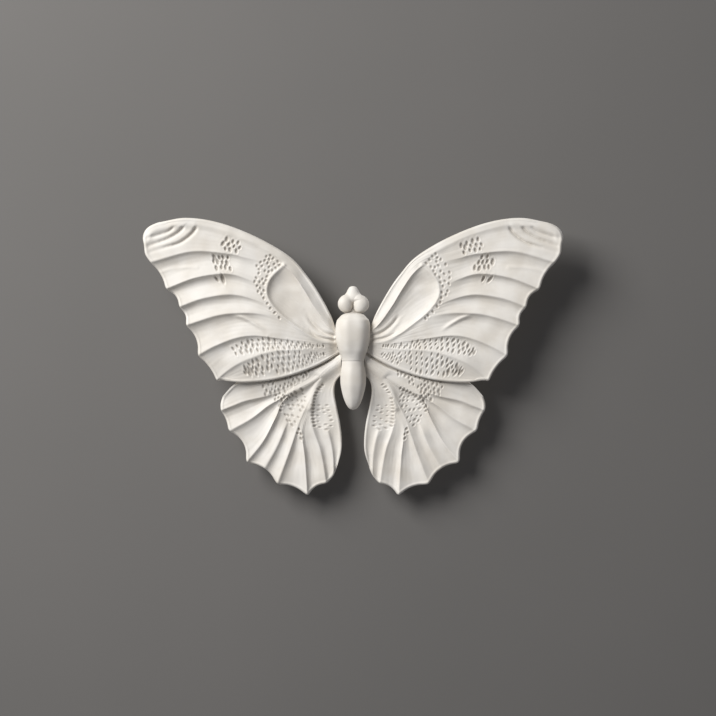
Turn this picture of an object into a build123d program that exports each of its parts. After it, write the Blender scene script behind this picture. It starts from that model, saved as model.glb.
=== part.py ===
from build123d import *

import math
import os

# A wall-hung butterfly ornament, cast in pieces: a body in three parts, four fluted wings with
# tenons that seat in the body, and a ring hanger and two feet behind.
# The wall is the plane y = 0, the front faces -Y, and +Z is up. The origin is on the wall, level
# with the place where the hook bears in the hanging ring. All sizes are in millimetres and degrees.

# Depths, measured out from the wall
WALL_GAP = 5.0  # wall to the flat back of the thorax
BODY_AXIS_DEPTH = 15.5  # wall to the axis that the body is turned on
HINDWING_SETBACK = 6.5  # from the body's axis back to the back of a lower wing at its root
WING_GAP = 0.4  # between the lower wing's front and the upper wing's back

# Body
THORAX_WIDTH = 16.5
THORAX_HEIGHT = 23.2
THORAX_WIDEST = 2.4  # height of the widest place above the thorax's middle
WAIST_WIDTH = 11.2
ABDOMEN_WIDTH = 11.9
ABDOMEN_LENGTH = 23.6
ABDOMEN_WIDEST = 5.8  # from the waist down to the widest place
WAIST_STEP = 0.3  # the abdomen's top is this much narrower than the waist, each side
DOME_FULLNESS = 0.95  # how square the thorax's shoulders are, 0 to 1
TIP_FULLNESS = 0.6  # how blunt the abdomen's tip is, 0 to 1
SIDE_PULL = 0.5  # how long the body's sides stay upright, 0 to 1
FLANK_FLARE = 1.1  # how far the thorax still bulges, just above the waist
FLANK_FLARE_HEIGHT = 3.5
HEAD_HEIGHT = 12.4
CROWN_RADIUS = 3.1
HEAD_CORE_RADIUS = 4.5
HEAD_FLARE = (0.5, 1)  # direction in which the core leaves the neck, out and up
EYE_RADIUS = 3.6
EYE_STRETCH = 1.15  # an eye's height over its width
EYE_SPREAD = 7.8  # between the eyes' centres
EYE_HEIGHT = 4.1  # centres above the thorax's top
EYE_FORWARD = 1.3  # centres in front of the body's axis
NECK_SPIGOT_RADIUS = 2.0
NECK_SPIGOT_LENGTH = 4.5
WAIST_SPIGOT_RADIUS = 2.2
WAIST_SPIGOT_LENGTH = 4.2
GLUE_GAP = 0.12  # round a glued spigot, tenon, eye or foot
BODY_GAP = 0.3  # between the pieces of the body, and round the wing roots

# Upper wings: outline points are hundredths of the reach, from the thorax's side and middle
FOREWING_REACH = 91.75
FOREWING_THICKNESS = 4.5
FOREWING_TILT = 4.0
FOREWING_LEADING_EDGE = [(-6, -0.5), (0.7, 5.2), (12, 27), (24.3, 41.5), (41, 51.3), (60, 58.6)]
FOREWING_LEADING_EDGE += [(78, 61.2), (93, 58.2), (99.4, 53), (98.8, 45.5)]
FOREWING_TIP_LOBE = (99.2, 41.2)
FOREWING_VEIN_ENDS = [(95.5, 37.9), (88, 24.2), (81, 15), (77.7, 5.6), (71.8, -9.9), (61.7, -22.8)]
FOREWING_SCALLOPS = [0.06, 0.17, 0.15, 0.11, 0.09]  # depth of each, as a share of its own chord
FOREWING_TRAILING_EDGE = [(52, -23.9), (44, -24), (33.7, -22.8), (22.8, -20.3), (11.9, -16.2)]
FOREWING_TRAILING_EDGE += [(-6, -5.5)]
FOREWING_VEINS = [
    [(34.6, 34.9), (54.9, 42.5), (74.9, 43.6)],
    [(37.9, 25.1), (46.6, 30.1), (57.5, 32.2), (72.8, 30)],
    [(32, 12.9), (41.1, 19.2), (54.2, 21.6), (68.9, 19.4)],
    [(28.3, 9), (35, 10.9), (45.5, 12.1), (60.8, 10.8)],
    [(20, -1.5), (33.5, -0.6), (42.2, 0.4), (52, -1), (62.9, -5.7)],
    [(14, -7.3), (26.5, -7.2), (37.4, -8.9), (48.3, -13), (55.5, -17.3)],
]
FOREWING_BAND = [(33, 40.5), (45, 47.3), (60, 53), (75, 55.6), (88, 53), (96.5, 47)]
FOREWING_HEM = [(14, -15), (26.5, -19), (37.4, -21.2), (48.3, -22.3), (57, -22.9)]
CELL_OUTER_SIDE = [(1, -2.8), (15.6, 2.3), (29.4, 11.7), (35.9, 24.1), (28.5, 36)]
CELL_INNER_SIDE = [(1.8, 2.3), (8.5, 11), (15, 21), (21, 30.5), (26, 36)]
CELL_DEPTH = 1.5

# Lower wings: outline points are hundredths of the reach, from the thorax's side and middle
HINDWING_REACH = 55.0
HINDWING_THICKNESS = 4.0
HINDWING_TILT = 3.0
HINDWING_TOP_EDGE = [(-10, -4), (4, -7), (30, -15), (60, -27), (84, -37), (94.5, -49), (99.7, -58.5)]
HINDWING_VEIN_ENDS = [(98.6, -63.6), (93, -82.4), (78.6, -109.8), (51.4, -128.9), (24.6, -138.7)]
HINDWING_VEIN_ENDS += [(8.3, -127.5)]
HINDWING_SCALLOPS = [0.1, 0.17, 0.17, 0.1, 0.12]  # depth of each, as a share of its own chord
HINDWING_INNER_EDGE = [(-1.5, -112.5), (-5, -91), (-2.5, -69), (1.4, -48.2), (-1, -35.5), (-10, -26)]
HINDWING_VEINS = [
    [(45, -47.5), (60.8, -52), (78.6, -56)],
    [(24.1, -41.1), (45, -51.1), (58.8, -60), (73.7, -71.8)],
    [(29, -46.5), (44, -55), (54.8, -73.8), (63.7, -91.6)],
    [(21.5, -56), (33, -80.9), (41, -101.6)],
    [(27.6, -74), (27.4, -95), (26.1, -113.5)],
    [(20.6, -58), (20.1, -75.8), (13.2, -93.6)],
]
HINDWING_BAND = [(40, -38), (60, -43.5), (80, -47.5), (96, -55)]
HINDWING_HEM = [(11, -50), (6.5, -72), (0.5, -94), (1.5, -118)]

# Carving
FLUTE_DEPTH = 1.5
SHALLOW_FLUTE_DEPTH = 0.9  # along the edges of a wing
VEIN_WIDTH = 0.9  # left standing between two flutes
FLUTE_STATIONS = [(0, 0.12), (0.3, 0.6), (0.65, 1), (1, 1), (1.12, 1)]  # share of length, of depth
CELL_STATIONS = [(0, 0.3), (0.3, 0.8), (0.6, 1), (0.85, 0.8), (1, 0.25)]
CUT_RIM = 0.3  # a gouge starts this far above the surface
BEAD_ROOT_RADIUS = 2.6
BEAD_TIP_RADIUS = 1.5
BEAD_RISE = 0.9  # the rounded leading edge stands this far above the wing
BEAD_PROUD = 0.2  # and this far outside the wing's outline
BEAD_STATIONS = 9
BEAD_END = 0.93  # share of the leading edge that the bead follows

# Wing roots
TENON_INNER = 2.2  # from the middle of the body to a tenon's end
TENON_BITE = 4.0  # a tenon runs this far into its wing
FOREWING_TENON_HEIGHT = 7.0
FOREWING_TENON_THICKNESS = 3.0
FOREWING_TENON_DROP = 1.2  # tenon's middle below the thorax's middle
HINDWING_TENON_HEIGHT = 5.6
HINDWING_TENON_THICKNESS = 2.8
HINDWING_TENON_LIFT = 4.4  # tenon's middle above the thorax's bottom

# Screws
SCREW_RADIUS = 1.2
SCREW_HEAD_RADIUS = 2.0
SCREW_HEAD_HEIGHT = 1.5
SCREW_CLEARANCE = 0.1
SCREW_HEAD_RIM = 0.6  # straight side of a head, below its dome
SCREW_POINT_RADIUS = 0.3
SCREW_POINT_LENGTH = 1.8
FOREWING_SCREW_BITE = 2.05  # from the tenon's front to the screw's point
FOREWING_SCREW_SPREAD = 5.2  # from the middle of the body
HINDWING_SCREW_BITE = 2.8
HINDWING_SCREW_SPREAD = 4.5
HEAD_SINK = 1.7  # depth of the counterbores for the wing screws

# Hanger
RING_WIRE_RADIUS = 1.0
RING_WIDTH = 11.0  # between the middles of the wire
RING_SIDE = 4.0  # from the bar's middle to the start of the round end
RING_CORNER_RADIUS = 2.2
RING_REST_GAP = 0.25  # at rest the ring leans this close to the thorax's back
KNUCKLE_DROP = 1.5  # the bar's axis below the thorax's middle
KNUCKLE_LENGTH = 4.6
PIVOT_CLEARANCE = 0.06
STRAP_THICKNESS = 0.8
STRAP_LENGTH = 9.0  # from the bar's axis down
STRAP_CORNER_RADIUS = 1.8
STRAP_SCREW_DROP = 5.4  # below the bar's axis
HANGER_SCREW_LENGTH = 7.0

# Feet
FOOT_PLACE = (30, -95)  # hundredths of the lower wing's reach
FOOT_RADIUS = 4.5
FOOT_TIP_RADIUS = 3.6
FOOT_SEAT = 0.8  # depth of the recess in the wing

# Worked out from the sizes above
THORAX_TOP = THORAX_HEIGHT / 2
THORAX_BOTTOM = -THORAX_HEIGHT / 2
HINDWING_TENON_DROP = THORAX_HEIGHT / 2 - HINDWING_TENON_LIFT
HINDWING_ROOT_DEPTH = BODY_AXIS_DEPTH - HINDWING_SETBACK
FOREWING_ROOT_DEPTH = HINDWING_ROOT_DEPTH + HINDWING_THICKNESS + WING_GAP
FOREWING_TENON_FRONT = FOREWING_ROOT_DEPTH + (FOREWING_THICKNESS + FOREWING_TENON_THICKNESS) / 2
HINDWING_TENON_FRONT = HINDWING_ROOT_DEPTH + (HINDWING_THICKNESS + HINDWING_TENON_THICKNESS) / 2
SCREW_SEAT_DEPTH = WALL_GAP + HEAD_SINK
FOREWING_SCREW_LENGTH = FOREWING_TENON_FRONT + FOREWING_SCREW_BITE - SCREW_SEAT_DEPTH
HINDWING_SCREW_LENGTH = HINDWING_TENON_FRONT + HINDWING_SCREW_BITE - SCREW_SEAT_DEPTH
BORE_RADIUS = RING_WIRE_RADIUS + PIVOT_CLEARANCE
KNUCKLE_RADIUS = BORE_RADIUS + STRAP_THICKNESS
PIVOT_DEPTH = WALL_GAP - KNUCKLE_RADIUS
RING_REACH = RING_SIDE + RING_WIDTH / 2  # from the bar's axis to the middle of the wire at the top
RING_LEAN = math.degrees(math.asin((KNUCKLE_RADIUS - RING_WIRE_RADIUS - RING_REST_GAP) / RING_REACH))
HOOK_HEIGHT = (RING_REACH - RING_WIRE_RADIUS) * math.cos(math.radians(RING_LEAN)) - KNUCKLE_DROP
OVERRUN = 1.0  # cuts and joins run this far past a face
HALF_TURN = 180.0
STANDING = (Align.CENTER, Align.CENTER, Align.MIN)  # a round shape that starts at its plane


def front_plane(depth):
    """The plane seen from the front, with x to the right and y up, so far out from the wall."""
    return Plane.XZ.offset(depth)


def into_body(x, depth, z):
    """A plane whose normal points from the wall into the body, for screws and their holes."""
    return Plane(origin=(x, -depth, z), x_dir=(1, 0, 0), z_dir=(0, -1, 0))


# Body

def thorax_half(growth=0.0):
    """Right half of the thorax seen from the front, or of the room that it takes when grown by a gap."""
    half = THORAX_WIDTH / 2 + growth
    waist = WAIST_WIDTH / 2 + growth
    top = THORAX_TOP + growth
    bottom = THORAX_BOTTOM - growth
    rise = top - THORAX_WIDEST
    fall = THORAX_WIDEST - bottom
    dome = Bezier(
        (0, top),
        (DOME_FULLNESS * half, top),
        (half, THORAX_WIDEST + SIDE_PULL * rise),
        (half, THORAX_WIDEST),
    )
    flank = Bezier(
        (half, THORAX_WIDEST),
        (half, THORAX_WIDEST - SIDE_PULL * fall),
        (waist + FLANK_FLARE, bottom + FLANK_FLARE_HEIGHT),
        (waist, bottom),
    )
    floor = Line((waist, bottom), (0, bottom))
    axis = Line((0, bottom), (0, top))
    return make_face([dome, flank, floor, axis])


def abdomen_half(growth=0.0):
    """Right half of the abdomen seen from the front, or of the room that it takes when grown by a gap."""
    top = THORAX_BOTTOM - BODY_GAP
    widest = top - ABDOMEN_WIDEST
    tip = top - ABDOMEN_LENGTH - growth
    half = ABDOMEN_WIDTH / 2 + growth
    neck = WAIST_WIDTH / 2 - WAIST_STEP + growth
    shoulder = Bezier((neck, top), (half, top - SIDE_PULL * ABDOMEN_WIDEST), (half, widest))
    taper = Bezier(
        (half, widest),
        (half, widest + SIDE_PULL * (tip - widest)),
        (TIP_FULLNESS * half, tip),
        (0, tip),
    )
    axis = Line((0, tip), (0, top))
    lid = Line((0, top), (neck, top))
    return make_face([shoulder, taper, axis, lid])


def turned(half, arc=360):
    """A half outline turned about the body's axis, from its right side round the front."""
    return revolve(front_plane(BODY_AXIS_DEPTH) * half, Axis((0, -BODY_AXIS_DEPTH, 0), (0, 0, -1)), arc)


def body_axis_cylinder(radius, bottom, top):
    """An upright cylinder on the body's axis."""
    base = Plane(origin=(0, -BODY_AXIS_DEPTH, bottom))
    return base * Cylinder(radius, top - bottom, align=STANDING)


def make_thorax():
    """Round in front, straight-sided and flat behind, with bores, mortises and screw holes."""
    half = thorax_half()
    outline = half + mirror(half, Plane.YZ)
    thorax = turned(half, HALF_TURN) + extrude(front_plane(WALL_GAP) * outline, BODY_AXIS_DEPTH - WALL_GAP)
    neck_radius = NECK_SPIGOT_RADIUS + GLUE_GAP
    neck_bottom = THORAX_TOP - NECK_SPIGOT_LENGTH - GLUE_GAP
    thorax -= body_axis_cylinder(neck_radius, neck_bottom, THORAX_TOP + OVERRUN)
    waist_radius = WAIST_SPIGOT_RADIUS + GLUE_GAP
    waist_top = THORAX_BOTTOM + WAIST_SPIGOT_LENGTH + GLUE_GAP
    thorax -= body_axis_cylinder(waist_radius, THORAX_BOTTOM - OVERRUN, waist_top)
    for side in (-1, 1):
        thorax -= forewing_tenon(side, GLUE_GAP)
        thorax -= hindwing_tenon(side, GLUE_GAP)
        thorax -= forewing_screw_hole(side)
        thorax -= hindwing_screw_hole(side)
    thorax -= screw_hole(into_body(0, WALL_GAP, -KNUCKLE_DROP - STRAP_SCREW_DROP), HANGER_SCREW_LENGTH, 0)
    return thorax


def make_abdomen():
    """Turned and tapered, with a spigot that goes up into the thorax."""
    top = THORAX_BOTTOM + WAIST_SPIGOT_LENGTH
    return turned(abdomen_half()) + body_axis_cylinder(WAIST_SPIGOT_RADIUS, THORAX_BOTTOM - OVERRUN, top)


def eye(side, growth=0.0):
    """One eye, a ball drawn out upwards, or the seat for it when it is grown by a gap."""
    place = Pos(side * EYE_SPREAD / 2, -BODY_AXIS_DEPTH - EYE_FORWARD, THORAX_TOP + EYE_HEIGHT)
    return place * scale(Sphere(EYE_RADIUS + growth), by=(1, 1, EYE_STRETCH))


def make_head():
    """A crown lobe on a slimmer core, hollowed where the eyes sit, with a spigot below."""
    bottom = THORAX_TOP + BODY_GAP
    top = THORAX_TOP + HEAD_HEIGHT
    crown_middle = top - CROWN_RADIUS
    eye_level = THORAX_TOP + EYE_HEIGHT
    side = Spline(
        (NECK_SPIGOT_RADIUS, bottom),
        (HEAD_CORE_RADIUS, eye_level),
        (CROWN_RADIUS, crown_middle),
        tangents=[HEAD_FLARE, (0, 1)],
    )
    crown = TangentArc((0, top), (CROWN_RADIUS, crown_middle), tangent=(1, 0))
    axis = Line((0, top), (0, bottom))
    base = Line((0, bottom), (NECK_SPIGOT_RADIUS, bottom))
    head = turned(make_face([side, crown, axis, base]))
    head += body_axis_cylinder(NECK_SPIGOT_RADIUS, THORAX_TOP - NECK_SPIGOT_LENGTH, bottom + OVERRUN)
    return head - eye(-1, GLUE_GAP) - eye(1, GLUE_GAP)


# Wings

def wing_plane(root_depth, tilt):
    """A wing's own plane: x out along the wing, y up, z from its back to its front."""
    lean = math.radians(tilt)
    return Plane(
        origin=(THORAX_WIDTH / 2, -root_depth, 0),
        x_dir=(math.cos(lean), -math.sin(lean), 0),
        z_dir=(-math.sin(lean), -math.cos(lean), 0),
    )


def sized(points, reach):
    """Outline points in millimetres, from hundredths of a wing's reach."""
    return [Vector(x, y) * (reach / 100) for x, y in points]


def scallop(start, end, share):
    """A hollow arc of the margin between two vein ends, listed clockwise round the right wing."""
    chord = end - start
    inward = Vector(chord.Y, -chord.X) * share
    return ThreePointArc(start, (start + end) / 2 + inward, end)


def margin(ends, shares):
    """All the scallops of a wing's outer margin."""
    return [scallop(start, end, share) for start, end, share in zip(ends, ends[1:], shares)]


def along(curve, share):
    """A point on a curve, or straight on from its end for a share above 1."""
    if share <= 1:
        return curve.position_at(share)
    return curve.position_at(1) + curve.tangent_at(1) * ((share - 1) * curve.length)


def gouge(upper, lower, surface, depth, stations):
    """A hollow between two curves, as a round-nosed gouge cuts it down from the surface."""
    sections = []
    for share, depth_share in stations:
        start = along(upper, share)
        end = along(lower, share)
        across = (end - start).normalized() * (VEIN_WIDTH / 2)
        rim_start = start + across + Vector(0, 0, surface + CUT_RIM)
        rim_end = end - across + Vector(0, 0, surface + CUT_RIM)
        bottom = (start + end) / 2 + Vector(0, 0, surface - depth * depth_share)
        arc = ThreePointArc(rim_start, bottom, rim_end)
        sections.append(Wire([arc.edge(), Line(rim_end, rim_start).edge()]))
    return Solid.make_loft(sections)


def flutes(curves, surface, depths):
    """The gouged hollows between each curve and the next."""
    pairs = zip(curves, curves[1:], depths)
    return [gouge(upper, lower, surface, depth, FLUTE_STATIONS) for upper, lower, depth in pairs]


def leading_bead(edge, surface):
    """The rounded leading edge, which thins from the root to the tip."""
    sections = []
    for step in range(BEAD_STATIONS):
        share = step / (BEAD_STATIONS - 1)
        radius = BEAD_ROOT_RADIUS + (BEAD_TIP_RADIUS - BEAD_ROOT_RADIUS) * share
        forward = edge.tangent_at(share)
        inward = Vector(forward.Y, -forward.X) * (radius - BEAD_PROUD)
        middle = edge.position_at(share) + inward + Vector(0, 0, surface + BEAD_RISE - radius)
        sections.append(Wire.make_circle(radius, Plane(origin=middle, x_dir=(0, 0, 1), z_dir=forward)))
    return Solid.make_loft(sections)


def tenon(side, root_depth, thickness, tenon_thickness, height, drop, growth):
    """A block from near the body's middle into the wing's root, or its mortise when grown by a gap."""
    inner = TENON_INNER - growth
    outer = THORAX_WIDTH / 2 + TENON_BITE
    depth = root_depth + thickness / 2
    block = Box(outer - inner, tenon_thickness + 2 * growth, height + 2 * growth)
    return Pos(side * (inner + outer) / 2, -depth, -drop) * block


def forewing_tenon(side, growth=0.0):
    """Tenon of an upper wing."""
    return tenon(
        side,
        FOREWING_ROOT_DEPTH,
        FOREWING_THICKNESS,
        FOREWING_TENON_THICKNESS,
        FOREWING_TENON_HEIGHT,
        FOREWING_TENON_DROP,
        growth,
    )


def hindwing_tenon(side, growth=0.0):
    """Tenon of a lower wing."""
    return tenon(
        side,
        HINDWING_ROOT_DEPTH,
        HINDWING_THICKNESS,
        HINDWING_TENON_THICKNESS,
        HINDWING_TENON_HEIGHT,
        HINDWING_TENON_DROP,
        growth,
    )


def clear_of_body(wing):
    """A wing cut back from the outlines of the thorax and abdomen by the gap round its root."""
    for half in (thorax_half(BODY_GAP), abdomen_half(BODY_GAP)):
        wing -= extrude(Plane.XZ * half, 2 * BODY_AXIS_DEPTH)
    return wing


def make_forewing():
    """The right upper wing."""
    surface = FOREWING_THICKNESS
    leading = sized(FOREWING_LEADING_EDGE, FOREWING_REACH)
    ends = sized(FOREWING_VEIN_ENDS, FOREWING_REACH)
    trailing = sized(FOREWING_TRAILING_EDGE, FOREWING_REACH)
    lobe = sized([FOREWING_TIP_LOBE], FOREWING_REACH)[0]
    front = Spline(*leading)
    outline = [front, ThreePointArc(leading[-1], lobe, ends[0])]
    outline += margin(ends, FOREWING_SCALLOPS)
    outline += [Spline(ends[-1], *trailing), Line(trailing[-1], leading[0])]
    blade = extrude(make_face(outline), FOREWING_THICKNESS)
    veins = [Spline(*sized(points, FOREWING_REACH), end) for points, end in zip(FOREWING_VEINS, ends)]
    band = Spline(*sized(FOREWING_BAND, FOREWING_REACH))
    hem = Spline(*sized(FOREWING_HEM, FOREWING_REACH))
    depths = [SHALLOW_FLUTE_DEPTH] + [FLUTE_DEPTH] * (len(veins) - 1) + [SHALLOW_FLUTE_DEPTH]
    cell_outer = Spline(*sized(CELL_OUTER_SIDE, FOREWING_REACH))
    cell_inner = Spline(*sized(CELL_INNER_SIDE, FOREWING_REACH))
    for cut in flutes([band, *veins, hem], surface, depths):
        blade -= cut
    blade -= gouge(cell_inner, cell_outer, surface, CELL_DEPTH, CELL_STATIONS)
    blade += leading_bead(front.trim(0, BEAD_END), surface)
    wing = clear_of_body(wing_plane(FOREWING_ROOT_DEPTH, FOREWING_TILT) * blade)
    return wing + forewing_tenon(1) - forewing_screw_hole(1)


def make_hindwing():
    """The right lower wing."""
    surface = HINDWING_THICKNESS
    top = sized(HINDWING_TOP_EDGE, HINDWING_REACH)
    ends = sized(HINDWING_VEIN_ENDS, HINDWING_REACH)
    inner = sized(HINDWING_INNER_EDGE, HINDWING_REACH)
    outline = [Spline(*top, ends[0])]
    outline += margin(ends, HINDWING_SCALLOPS)
    outline += [Spline(ends[-1], *inner), Line(inner[-1], top[0])]
    blade = extrude(make_face(outline), HINDWING_THICKNESS)
    veins = [Spline(*sized(points, HINDWING_REACH), end) for points, end in zip(HINDWING_VEINS, ends)]
    band = Spline(*sized(HINDWING_BAND, HINDWING_REACH))
    hem = Spline(*sized(HINDWING_HEM, HINDWING_REACH))
    depths = [SHALLOW_FLUTE_DEPTH] + [FLUTE_DEPTH] * (len(veins) - 1) + [SHALLOW_FLUTE_DEPTH]
    for cut in flutes([band, *veins, hem], surface, depths):
        blade -= cut
    blade -= foot_place() * Cylinder(FOOT_RADIUS + GLUE_GAP, FOOT_SEAT + GLUE_GAP, align=STANDING)
    wing = clear_of_body(wing_plane(HINDWING_ROOT_DEPTH, HINDWING_TILT) * blade)
    return wing + hindwing_tenon(1) - hindwing_screw_hole(1)


def foot_place():
    """Where a foot stands on the lower wing's back, in the wing's own plane."""
    place = sized([FOOT_PLACE], HINDWING_REACH)[0]
    return Pos(place.X, place.Y, 0)


def make_foot():
    """A tapered rubber foot on the back of the right lower wing, cut flat by the wall."""
    length = HINDWING_ROOT_DEPTH + HINDWING_REACH * math.sin(math.radians(HINDWING_TILT)) + FOOT_SEAT
    cone = Cone(FOOT_TIP_RADIUS, FOOT_RADIUS, length, align=(Align.CENTER, Align.CENTER, Align.MAX))
    foot = foot_place() * Pos(0, 0, FOOT_SEAT) * cone
    return split(wing_plane(HINDWING_ROOT_DEPTH, HINDWING_TILT) * foot, Plane.XZ, Keep.TOP)


# Screws

def screw(seat, length):
    """A round-headed screw whose head bears on the seat plane, pointing along its normal."""
    dome = TangentArc((0, -SCREW_HEAD_HEIGHT), (SCREW_HEAD_RADIUS, -SCREW_HEAD_RIM), tangent=(1, 0))
    path = Polyline(
        (0, -SCREW_HEAD_HEIGHT),
        (0, length),
        (SCREW_POINT_RADIUS, length),
        (SCREW_RADIUS, length - SCREW_POINT_LENGTH),
        (SCREW_RADIUS, 0),
        (SCREW_HEAD_RADIUS, 0),
        (SCREW_HEAD_RADIUS, -SCREW_HEAD_RIM),
    )
    profile = Plane.XZ * make_face([dome, *path.edges()])
    return seat * revolve(profile, Axis.Z)


def screw_hole(face, length, sink):
    """The hole for a screw, with a counterbore of the given depth in the face."""
    hole = Cylinder(SCREW_RADIUS + SCREW_CLEARANCE, length + sink + SCREW_CLEARANCE, align=STANDING)
    if sink:
        hole += Cylinder(SCREW_HEAD_RADIUS + SCREW_CLEARANCE, sink, align=STANDING)
    return face * hole


def forewing_screw_hole(side):
    """Hole for an upper wing's screw, through the thorax's back and the tenon."""
    face = into_body(side * FOREWING_SCREW_SPREAD, WALL_GAP, -FOREWING_TENON_DROP)
    return screw_hole(face, FOREWING_SCREW_LENGTH, HEAD_SINK)


def hindwing_screw_hole(side):
    """Hole for a lower wing's screw, through the thorax's back and the tenon."""
    face = into_body(side * HINDWING_SCREW_SPREAD, WALL_GAP, -HINDWING_TENON_DROP)
    return screw_hole(face, HINDWING_SCREW_LENGTH, HEAD_SINK)


def wing_screws(spread, drop, length):
    """A pair of wing screws, left and right, sunk in the thorax's back."""
    left, right = [into_body(side * spread, SCREW_SEAT_DEPTH, -drop) for side in (-1, 1)]
    return screw(left, length) + screw(right, length)


# Hanger

def make_strap():
    """A steel strip folded round the ring's bar, both leaves on the thorax's back."""
    leaves = 2 * STRAP_THICKNESS
    leaf = Pos(-WALL_GAP + leaves / 2, -KNUCKLE_DROP - STRAP_LENGTH / 2) * Rectangle(leaves, STRAP_LENGTH)
    pivot = Pos(-PIVOT_DEPTH, -KNUCKLE_DROP)
    profile = leaf + pivot * Circle(KNUCKLE_RADIUS) - pivot * Circle(BORE_RADIUS)
    strap = extrude(Plane.YZ * profile, KNUCKLE_LENGTH / 2, both=True)
    corners = strap.edges().filter_by(Axis.Y).group_by(Axis.Z)[0]
    strap = fillet(corners, STRAP_CORNER_RADIUS)
    hole = Cylinder(SCREW_RADIUS + SCREW_CLEARANCE, 2 * leaves + OVERRUN)
    return strap - into_body(0, WALL_GAP, -KNUCKLE_DROP - STRAP_SCREW_DROP) * hole


def make_ring():
    """A closed D of round wire, standing up from its bar."""
    half = RING_WIDTH / 2
    corner = RING_CORNER_RADIUS
    bend = corner * (1 - math.sqrt(0.5))
    path = [
        Line((0, 0), (half - corner, 0)),
        ThreePointArc((half - corner, 0), (half - bend, bend), (half, corner)),
        Line((half, corner), (half, RING_SIDE)),
        ThreePointArc((half, RING_SIDE), (0, RING_SIDE + half), (-half, RING_SIDE)),
        Line((-half, RING_SIDE), (-half, corner)),
        ThreePointArc((-half, corner), (bend - half, bend), (corner - half, 0)),
        Line((corner - half, 0), (0, 0)),
    ]
    wire = Wire([piece.edge() for piece in path])
    section = Plane(origin=(0, 0, 0), z_dir=(1, 0, 0)) * Circle(RING_WIRE_RADIUS)
    ring = sweep(section, wire)
    upright = Plane(origin=(0, -PIVOT_DEPTH, -KNUCKLE_DROP), x_dir=(1, 0, 0), z_dir=(0, -1, 0))
    return upright * Rot(RING_LEAN, 0, 0) * ring


def make_hanger_screw():
    """The screw that holds both leaves of the strap."""
    seat = into_body(0, WALL_GAP - 2 * STRAP_THICKNESS, -KNUCKLE_DROP - STRAP_SCREW_DROP)
    return screw(seat, HANGER_SCREW_LENGTH + 2 * STRAP_THICKNESS)


def mirrored(shape):
    """The left-hand twin of a right-hand piece."""
    return mirror(shape, Plane.YZ)


def main():
    """Build every piece with the thorax's middle at the origin, then hang the whole from the hook."""
    forewing = make_forewing()
    hindwing = make_hindwing()
    foot = make_foot()
    pieces = {
        "head": make_head(),
        "eye_left": eye(-1),
        "eye_right": eye(1),
        "thorax": make_thorax(),
        "abdomen": make_abdomen(),
        "forewing_left": mirrored(forewing),
        "forewing_right": forewing,
        "hindwing_left": mirrored(hindwing),
        "hindwing_right": hindwing,
        "forewing_screws": wing_screws(FOREWING_SCREW_SPREAD, FOREWING_TENON_DROP, FOREWING_SCREW_LENGTH),
        "hindwing_screws": wing_screws(HINDWING_SCREW_SPREAD, HINDWING_TENON_DROP, HINDWING_SCREW_LENGTH),
        "hanger_strap": make_strap(),
        "hanging_ring": make_ring(),
        "hanger_screw": make_hanger_screw(),
        "foot_left": mirrored(foot),
        "foot_right": foot,
    }
    os.makedirs("parts", exist_ok=True)
    for name, shape in pieces.items():
        export_step(Pos(0, 0, -HOOK_HEIGHT) * shape, f"parts/{name}.step")


main()
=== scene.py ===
import math
import random

import bmesh
import bpy
import numpy as np
from mathutils import Matrix, Vector, noise


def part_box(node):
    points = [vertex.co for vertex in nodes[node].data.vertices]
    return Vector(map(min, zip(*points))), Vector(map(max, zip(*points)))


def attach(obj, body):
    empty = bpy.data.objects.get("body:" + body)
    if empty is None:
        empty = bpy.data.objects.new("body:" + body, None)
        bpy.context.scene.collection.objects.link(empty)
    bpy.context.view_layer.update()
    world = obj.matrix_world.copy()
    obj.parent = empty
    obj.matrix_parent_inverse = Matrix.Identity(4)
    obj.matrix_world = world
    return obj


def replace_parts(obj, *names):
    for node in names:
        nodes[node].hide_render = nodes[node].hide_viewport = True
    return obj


# A wall-hung butterfly ornament in cast stone-filled resin: carved wings, a rounded body, and a ring
# hanger with two rubber feet behind. The wall is the plane y = 0, and the front faces -Y.

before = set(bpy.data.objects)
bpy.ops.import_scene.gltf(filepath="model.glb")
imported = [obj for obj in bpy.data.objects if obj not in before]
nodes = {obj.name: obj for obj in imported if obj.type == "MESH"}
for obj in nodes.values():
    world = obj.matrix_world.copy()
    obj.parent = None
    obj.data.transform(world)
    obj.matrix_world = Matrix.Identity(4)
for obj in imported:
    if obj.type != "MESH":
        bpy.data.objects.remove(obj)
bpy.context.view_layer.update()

MM = 0.001
thorax_low, thorax_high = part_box("thorax")
THORAX_SIDE = thorax_high.x / MM  # from the middle of the body to the thorax's side
THORAX_MIDDLE = (thorax_low.z + thorax_high.z) / 2 / MM
THORAX_BACK = thorax_high.y / MM
BODY_AXIS = 15.5  # from the wall to the middle of the body's round sections

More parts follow.
